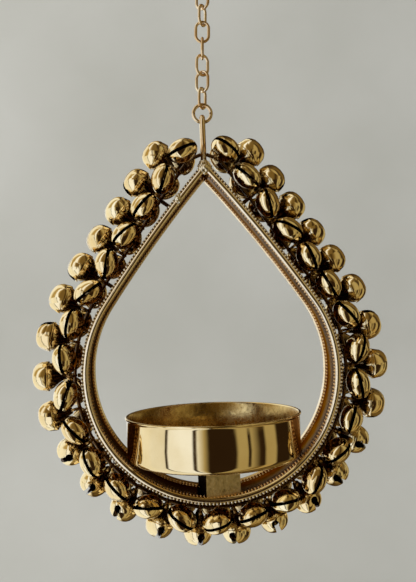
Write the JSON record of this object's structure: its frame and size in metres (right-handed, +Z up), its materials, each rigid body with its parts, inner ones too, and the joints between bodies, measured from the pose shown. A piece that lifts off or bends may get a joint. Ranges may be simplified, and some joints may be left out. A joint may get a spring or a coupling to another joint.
{
  "type": "hanging candle holder",
  "caption": "Teardrop hanging candle holder with a small round cup inside, a garland of slit bells round its edge and a chain of oval links.",
  "frame": {"origin": "the point on the inside of the top ring where a hook carries it", "axes": "+Z up along the hanging chain, +X to the viewer's right in the plane of the teardrop, +Y away from the viewer"},
  "size_m": [0.0846, 0.0418, 0.1398],
  "materials": {
    "polished_brass": "polished, antique gold tone",
    "pale_solder": "lumpy, semi-bright"
  },
  "bodies": {
    "top_ring": {"hanging_ring": "polished_brass"},
    "link_1": {"chain_link_01": "polished_brass"},
    "link_2": {"chain_link_02": "polished_brass"},
    "link_3": {"chain_link_03": "polished_brass"},
    "link_4": {"chain_link_04": "polished_brass"},
    "link_5": {"chain_link_05": "polished_brass"},
    "link_6": {"chain_link_06": "polished_brass"},
    "link_7": {"chain_link_07": "polished_brass"},
    "jump_ring": {"jump_ring": "polished_brass"},
    "holder": {"drop_strip": "polished_brass", "edging_front": "polished_brass", "edging_rear": "polished_brass", "candle_cup": "polished_brass", "cup_riser": "polished_brass", "hanging_loop": "polished_brass", "apex_solder": "pale_solder", "garland_wire": "polished_brass", "garland_posts": "polished_brass", "bells_01": "polished_brass", "bells_02": "polished_brass", "bells_03": "polished_brass", "bells_04": "polished_brass", "bells_05": "polished_brass", "bells_06": "polished_brass", "bells_07": "polished_brass", "bells_08": "polished_brass", "bells_09": "polished_brass", "bells_10": "polished_brass", "bells_11": "polished_brass", "bells_12": "polished_brass", "bells_13": "polished_brass", "bells_14": "polished_brass", "bells_15": "polished_brass", "bells_16": "polished_brass", "bells_17": "polished_brass", "bells_18": "polished_brass", "bells_19": "polished_brass", "bells_20": "polished_brass", "bells_21": "polished_brass", "bells_22": "polished_brass", "bells_23": "polished_brass", "bells_24": "polished_brass", "bells_25": "polished_brass", "bells_26": "polished_brass", "bells_27": "polished_brass", "bells_28": "polished_brass", "bells_29": "polished_brass"}
  },
  "joints": [
    {"name": "link_1_swing", "type": "hinge", "parent": "top_ring", "child": "link_1", "pos_m": [0, 0, -0.00665], "axis": [0, 1, 0], "range_deg": [-25, 25]},
    {"name": "link_2_swing", "type": "hinge", "parent": "link_1", "child": "link_2", "pos_m": [0, 0, -0.01057], "axis": [0.866, -0.5, 0], "range_deg": [-25, 25]},
    {"name": "link_3_swing", "type": "hinge", "parent": "link_2", "child": "link_3", "pos_m": [0, 0, -0.01459], "axis": [0.5, 0.866, 0], "range_deg": [-25, 25]},
    {"name": "link_4_swing", "type": "hinge", "parent": "link_3", "child": "link_4", "pos_m": [0, 0, -0.01861], "axis": [1, 0, 0], "range_deg": [-25, 25]},
    {"name": "link_5_swing", "type": "hinge", "parent": "link_4", "child": "link_5", "pos_m": [0, 0, -0.02263], "axis": [0, 1, 0], "range_deg": [-25, 25]},
    {"name": "link_6_swing", "type": "hinge", "parent": "link_5", "child": "link_6", "pos_m": [0, 0, -0.02665], "axis": [0.866, 0.5, 0], "range_deg": [-25, 25]},
    {"name": "link_7_swing", "type": "hinge", "parent": "link_6", "child": "link_7", "pos_m": [0, 0, -0.03067], "axis": [0.866, -0.5, 0], "range_deg": [-25, 25]},
    {"name": "jump_ring_swing", "type": "hinge", "parent": "link_7", "child": "jump_ring", "pos_m": [0, 0, -0.03469], "axis": [0.5, 0.866, 0], "range_deg": [-25, 25]},
    {"name": "holder_swing", "type": "hinge", "parent": "jump_ring", "child": "holder", "pos_m": [0, 0, -0.03809], "axis": [1, 0, 0], "range_deg": [-25, 25]}
  ]
}
